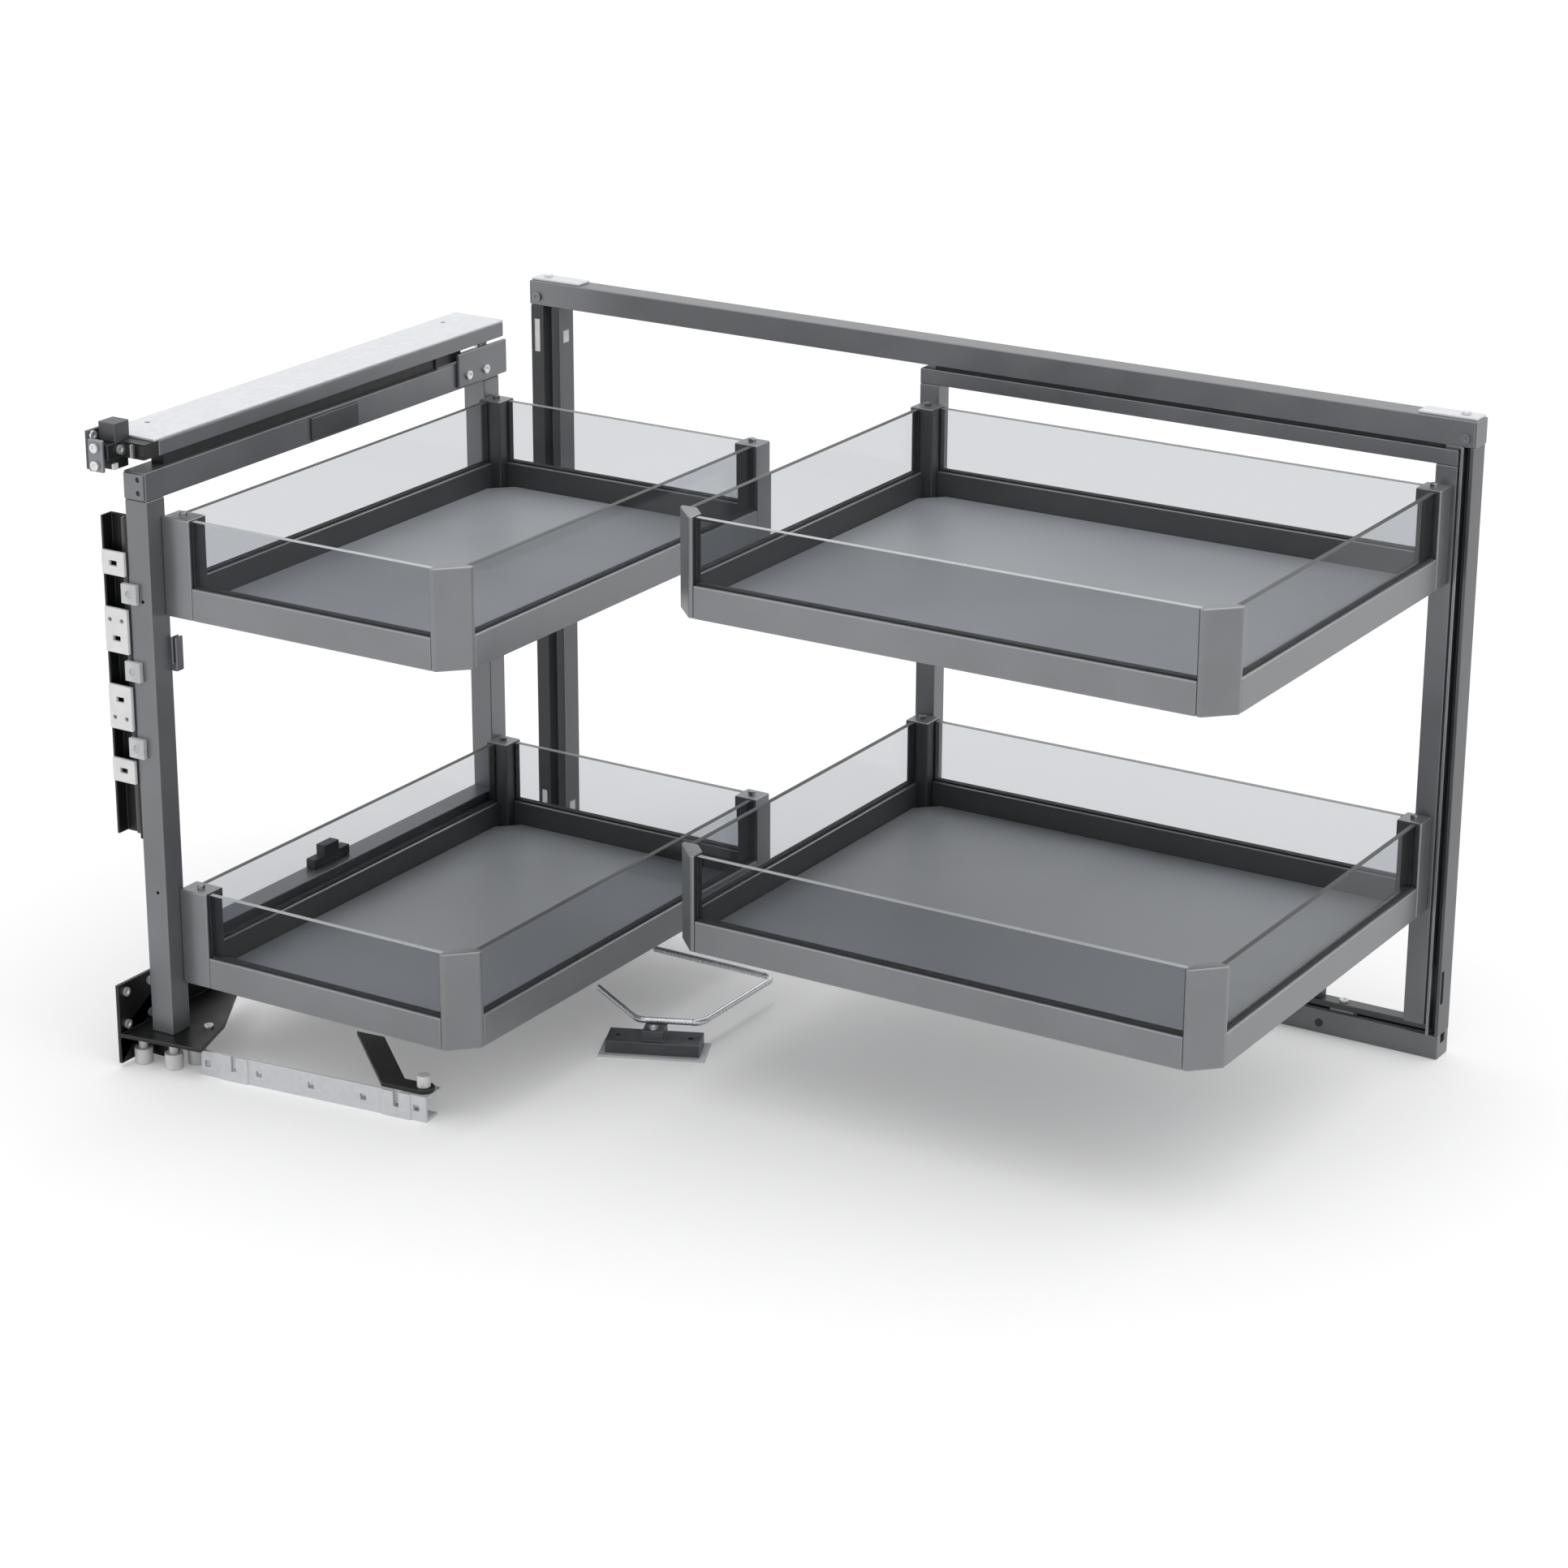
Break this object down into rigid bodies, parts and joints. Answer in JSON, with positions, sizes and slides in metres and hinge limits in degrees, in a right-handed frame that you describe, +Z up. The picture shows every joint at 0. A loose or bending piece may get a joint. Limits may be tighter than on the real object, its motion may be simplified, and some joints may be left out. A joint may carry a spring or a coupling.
{
  "type": "blind corner pull out",
  "caption": "Blind corner cabinet pull-out: a swing-out front frame and a sliding rear carriage, both carrying glass-sided trays, with rails, door clips and floor fittings.",
  "frame": {"origin": "on the floor, midway between the two screw holes under the rear frame's bottom rail", "axes": "+X along the rear frame to the user's right, +Y away from the user into the cabinet, +Z up"},
  "size_m": [0.84, 0.559, 0.501],
  "materials": {
    "anthracite_frame": "satin anthracite powder coat",
    "tray_rim": "satin anthracite powder coat",
    "dark_steel": "satin dark grey coat",
    "black_steel": "satin black coat",
    "black_plastic": "moulded black",
    "zinc_plate": "zinc plated",
    "bright_steel": "bright plated",
    "white_plastic": "moulded white",
    "tray_panel": "coated board, non-slip grey",
    "smoked_glass": "clear lightly smoked, polished edges"
  },
  "bodies": {
    "fixed_frame": {"rear_top_rail": "anthracite_frame", "rear_bottom_rail": "anthracite_frame", "rear_left_post": "anthracite_frame", "rear_right_post": "anthracite_frame", "top_fixing_plates": "zinc_plate", "fixing_screws": "bright_steel", "front_top_rail": "anthracite_frame", "rail_mounting_plate": "zinc_plate", "rail_front_bracket": "black_steel", "wall_plate": "dark_steel", "adjusting_plate": "anthracite_frame", "bracket_block": "dark_steel", "floor_strip": "zinc_plate", "lever_stud": "white_plastic", "floor_bracket": "dark_steel", "bent_wire": "bright_steel"},
    "trolley": {"trolley": "white_plastic", "swing_pin": "bright_steel"},
    "trolley_axle_front": {"trolley_axle_front": "white_plastic"},
    "trolley_axle_rear": {"trolley_axle_rear": "white_plastic"},
    "swing_frame": {"front_post": "anthracite_frame", "front_rear_post": "anthracite_frame", "front_top_beam": "anthracite_frame", "beam_joint_plate": "dark_steel", "pivot_plate": "anthracite_frame", "front_frame_screws": "bright_steel", "post_hook": "anthracite_frame", "beam_end_cap": "anthracite_frame", "door_channel": "black_steel", "door_clips": "white_plastic", "door_adjusters": "white_plastic", "lower_bracket": "black_steel", "floor_glides": "white_plastic", "front_lower_beam": "anthracite_frame", "closer_catch": "black_plastic", "front_upper_rim": "tray_rim", "front_upper_panel": "tray_panel", "front_upper_corners": "tray_rim", "front_upper_glass": "smoked_glass", "front_lower_rim": "tray_rim", "front_lower_panel": "tray_panel", "front_lower_corners": "tray_rim", "front_lower_glass": "smoked_glass"},
    "carriage": {"carriage_top_beam": "anthracite_frame", "carriage_left_post": "anthracite_frame", "carriage_right_post": "anthracite_frame", "carriage_foot_bar": "dark_steel", "carriage_guides": "white_plastic", "carriage_stop": "black_plastic", "rear_upper_rim": "tray_rim", "rear_upper_panel": "tray_panel", "rear_upper_corners": "tray_rim", "rear_upper_glass": "smoked_glass", "rear_lower_rim": "tray_rim", "rear_lower_panel": "tray_panel", "rear_lower_corners": "tray_rim", "rear_lower_glass": "smoked_glass"},
    "carriage_roller_left": {"carriage_roller_left": "white_plastic"},
    "carriage_roller_right": {"carriage_roller_right": "white_plastic"},
    "strip_lever": {"strip_lever": "black_steel"}
  },
  "joints": [
    {"name": "front_slide", "type": "slide", "parent": "fixed_frame", "child": "trolley", "axis": [0, -1, 0], "range_m": [0, 0.36]},
    {"name": "front_swing", "type": "hinge", "parent": "trolley", "child": "swing_frame", "pos_m": [-0.392, -0.108, 0.451], "axis": [0, 0, -1], "range_deg": [0, 90]},
    {"name": "rear_slide", "type": "slide", "parent": "fixed_frame", "child": "carriage", "axis": [-1, 0, 0], "range_m": [0, 0.28]},
    {"name": "trolley_front_roll", "type": "hinge", "parent": "trolley", "child": "trolley_axle_front", "pos_m": [-0.392, -0.1185, 0.47725], "axis": [1, 0, 0], "continuous": true},
    {"name": "trolley_rear_roll", "type": "hinge", "parent": "trolley", "child": "trolley_axle_rear", "pos_m": [-0.392, -0.0975, 0.47725], "axis": [1, 0, 0], "continuous": true},
    {"name": "carriage_left_roll", "type": "hinge", "parent": "carriage", "child": "carriage_roller_left", "pos_m": [0.037, 0, 0.4863], "axis": [0, -1, 0], "continuous": true},
    {"name": "carriage_right_roll", "type": "hinge", "parent": "carriage", "child": "carriage_roller_right", "pos_m": [0.317, 0, 0.4863], "axis": [0, -1, 0], "continuous": true},
    {"name": "lever_swing", "type": "hinge", "parent": "fixed_frame", "child": "strip_lever", "pos_m": [-0.17407, -0.49776, 0.0218], "axis": [0, 0, -1], "range_deg": [0, 54]}
  ],
  "couplings": [
    {"joint": "rear_slide", "follows": "front_swing", "m_per_rad": 0.1782},
    {"joint": "trolley_front_roll", "follows": "front_slide", "rad_per_m": 289.86},
    {"joint": "trolley_rear_roll", "follows": "front_slide", "rad_per_m": 289.86},
    {"joint": "carriage_left_roll", "follows": "front_swing", "ratio": 25.457},
    {"joint": "carriage_right_roll", "follows": "front_swing", "ratio": 25.457}
  ]
}
